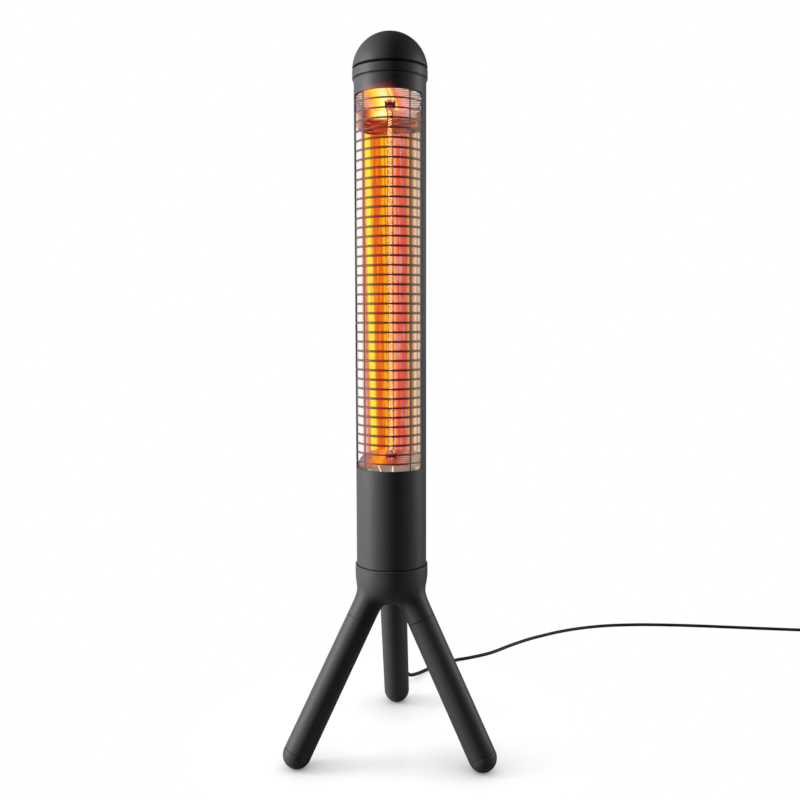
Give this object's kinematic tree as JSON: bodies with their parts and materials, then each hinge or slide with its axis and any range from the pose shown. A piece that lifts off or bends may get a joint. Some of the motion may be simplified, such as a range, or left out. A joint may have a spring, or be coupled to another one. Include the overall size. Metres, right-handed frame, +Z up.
{
  "type": "infrared patio heater tower",
  "caption": "Free-standing infrared heater: a glowing quartz lamp before a reflector in an open-fronted round tower with a wire guard and domed cap, on a tripod, with a mains cord.",
  "frame": {"origin": "on the floor, in the middle of the footprint of the three feet", "axes": "+Z up, +Y towards the rear leg, -Y towards the open window in the tower"},
  "size_m": [1.3531, 0.7731, 1.2732],
  "materials": {
    "powder_coat": "matte anthracite powder coat",
    "guard_coat": "heat-resistant satin coat",
    "polished": "mirror-polished sheet",
    "steel": "zinc plated",
    "dark_steel": "heat-stained spring steel",
    "brass": "plain",
    "rubber": "matte black",
    "foot_rubber": "matte anthracite",
    "black_plastic": "fine texture",
    "pale_plastic": "plain",
    "ceramic": "unglazed",
    "quartz": "clear quartz",
    "filament": "emissive, glowing orange",
    "lead_sleeve": "woven glass-fibre sleeve"
  },
  "bodies": {
    "heater": {"hub_casting": "powder_coat", "leg_rear": "powder_coat", "leg_front_left": "powder_coat", "leg_front_right": "powder_coat", "foot_rear": "foot_rubber", "foot_front_left": "foot_rubber", "foot_front_right": "foot_rubber", "leg_screw_rear": "steel", "leg_screw_front_left": "steel", "leg_screw_front_right": "steel", "hub_seal": "rubber", "housing_tube": "powder_coat", "guard_grille": "guard_coat", "hub_screw_right": "steel", "hub_screw_rear": "steel", "hub_screw_left": "steel", "cap_screw_right": "steel", "cap_screw_rear": "steel", "cap_screw_left": "steel", "cap_band": "powder_coat", "cap_gasket": "rubber", "dome_cap": "powder_coat", "cap_bridge": "steel", "cap_bolt": "steel", "reflector_trough": "polished", "reflector_top_plate": "polished", "reflector_bottom_plate": "polished", "lamp_end_upper": "ceramic", "lamp_end_lower": "ceramic", "lamp_clip_upper": "dark_steel", "lamp_clip_lower": "dark_steel", "quartz_tube": "quartz", "lamp_filament": "filament", "chassis_plate": "steel", "chassis_screw_left": "steel", "chassis_screw_right": "steel", "terminal_block": "pale_plastic", "thermal_cutout": "ceramic", "lead_wire_lower": "lead_sleeve", "lead_wire_upper": "lead_sleeve", "switch_wires": "lead_sleeve", "tilt_switch_case": "black_plastic", "tilt_switch_cover": "pale_plastic", "power_switch_body": "black_plastic", "cord_gland": "rubber", "gland_nut": "black_plastic", "cord_inner": "rubber", "cord_run": "rubber", "cord_coil": "rubber", "plug_body": "rubber", "plug_pin_left": "brass", "plug_pin_right": "brass"},
    "rocker": {"power_rocker": "black_plastic"},
    "tilt_pendulum": {"tilt_switch_pendulum": "brass"}
  },
  "joints": [
    {"name": "power_rocker_tilt", "type": "hinge", "parent": "heater", "child": "rocker", "pos_m": [0.00544, 0.01195, 0.44], "axis": [0.9957, -0.0924, 0], "range_deg": [-24, 0]},
    {"name": "tilt_pendulum_swing", "type": "hinge", "parent": "heater", "child": "tilt_pendulum", "pos_m": [-0.02492, -0.04469, 0.414], "axis": [0.0924, 0.9957, 0], "range_deg": [-40, 40]}
  ]
}
